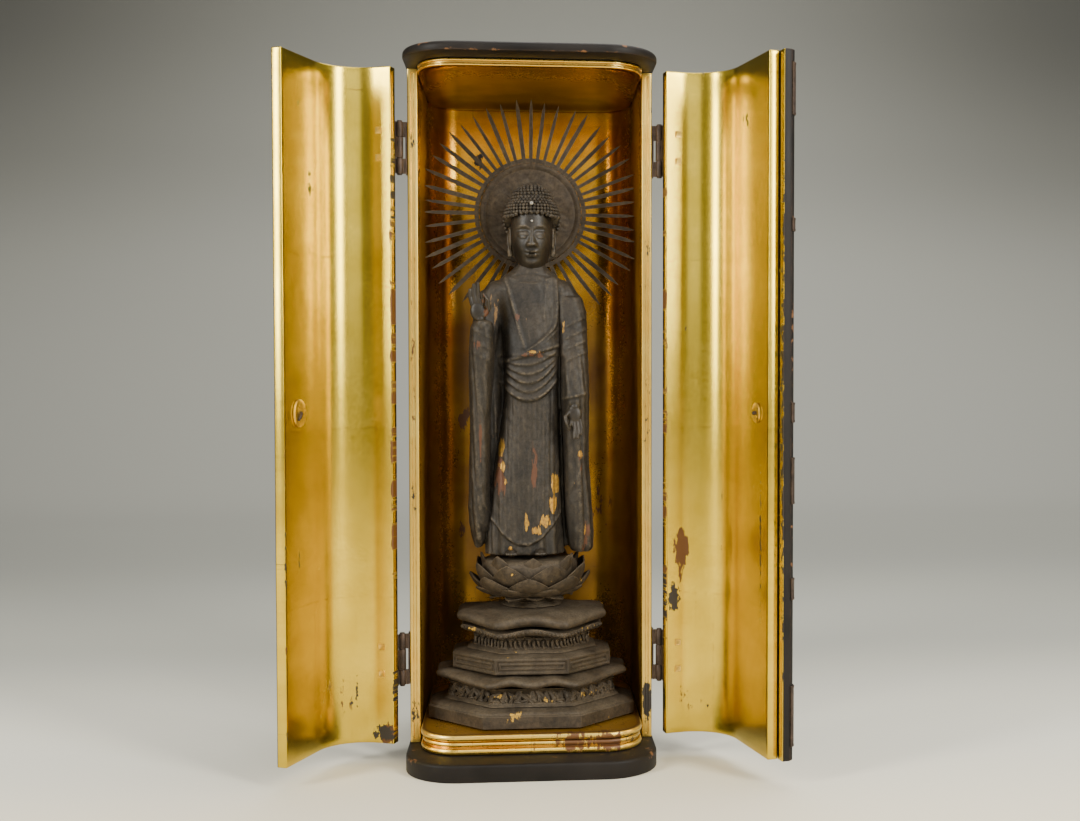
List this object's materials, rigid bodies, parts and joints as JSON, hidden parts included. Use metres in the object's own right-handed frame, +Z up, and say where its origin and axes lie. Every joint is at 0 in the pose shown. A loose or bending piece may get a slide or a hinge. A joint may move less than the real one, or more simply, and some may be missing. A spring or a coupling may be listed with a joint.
{
  "type": "buddhist altar cabinet",
  "caption": "Upright black-lacquered altar cabinet with rounded corners, gilded inside, two hinged doors, and a standing Buddha with a rayed halo on a tiered lotus pedestal.",
  "frame": {"origin": "middle of the base slab's underside, on the surface the cabinet stands on", "axes": "+Z up, -Y out of the open front towards the viewer, +X to the viewer's right"},
  "size_m": [0.3099, 0.2041, 0.45],
  "materials": {
    "black_lacquer": "black lacquer, satin, worn at the edges",
    "gold_leaf": "gold leaf over lacquer, aged, with black lacquer outside",
    "aged_wood": "darkened gilding and dust on carved wood",
    "dark_robe": "carved wood, nearly black, traces of gold",
    "dark_bronze": "dark patinated bronze"
  },
  "bodies": {
    "cabinet": {"base_slab": "black_lacquer", "roof_slab": "black_lacquer", "floor_platform": "gold_leaf", "ceiling_plate": "gold_leaf", "case_shell": "gold_leaf", "left_top_hinge_case_leaf": "dark_bronze", "left_top_hinge_pin": "dark_bronze", "left_bottom_hinge_case_leaf": "dark_bronze", "left_bottom_hinge_pin": "dark_bronze", "right_top_hinge_case_leaf": "dark_bronze", "right_top_hinge_pin": "dark_bronze", "right_bottom_hinge_case_leaf": "dark_bronze", "right_bottom_hinge_pin": "dark_bronze", "base_frame": "aged_wood", "carved_frieze": "aged_wood", "lower_petal_plate": "aged_wood", "panelled_block": "aged_wood", "fringe_neck": "aged_wood", "beaded_plate": "aged_wood", "upper_petal_plate": "aged_wood", "lotus_spool": "aged_wood", "lotus_seat": "aged_wood", "standing_figure": "dark_robe", "halo_disc": "aged_wood", "halo_rays": "aged_wood", "halo_stem": "aged_wood"},
    "left_leaf": {"left_door": "gold_leaf", "left_door_washer": "dark_bronze", "left_door_knob": "dark_bronze", "left_top_hinge_door_leaf": "dark_bronze", "left_bottom_hinge_door_leaf": "dark_bronze"},
    "right_leaf": {"right_door": "gold_leaf", "right_door_washer": "dark_bronze", "right_door_knob": "dark_bronze", "right_top_hinge_door_leaf": "dark_bronze", "right_bottom_hinge_door_leaf": "dark_bronze", "meeting_strip": "black_lacquer", "strip_fitting_1": "dark_bronze", "strip_fitting_2": "dark_bronze", "strip_fitting_3": "dark_bronze", "strip_fitting_4": "dark_bronze", "strip_fitting_5": "dark_bronze", "strip_fitting_6": "dark_bronze"}
  },
  "joints": [
    {"name": "left_door_hinge", "type": "hinge", "parent": "cabinet", "child": "left_leaf", "pos_m": [-0.0829, -0.03435, 0.2285], "axis": [0, 0, 1], "range_deg": [-58, 110.8]},
    {"name": "right_door_hinge", "type": "hinge", "parent": "cabinet", "child": "right_leaf", "pos_m": [0.0829, -0.03435, 0.2285], "axis": [0, 0, 1], "range_deg": [-103.8, 66]}
  ]
}
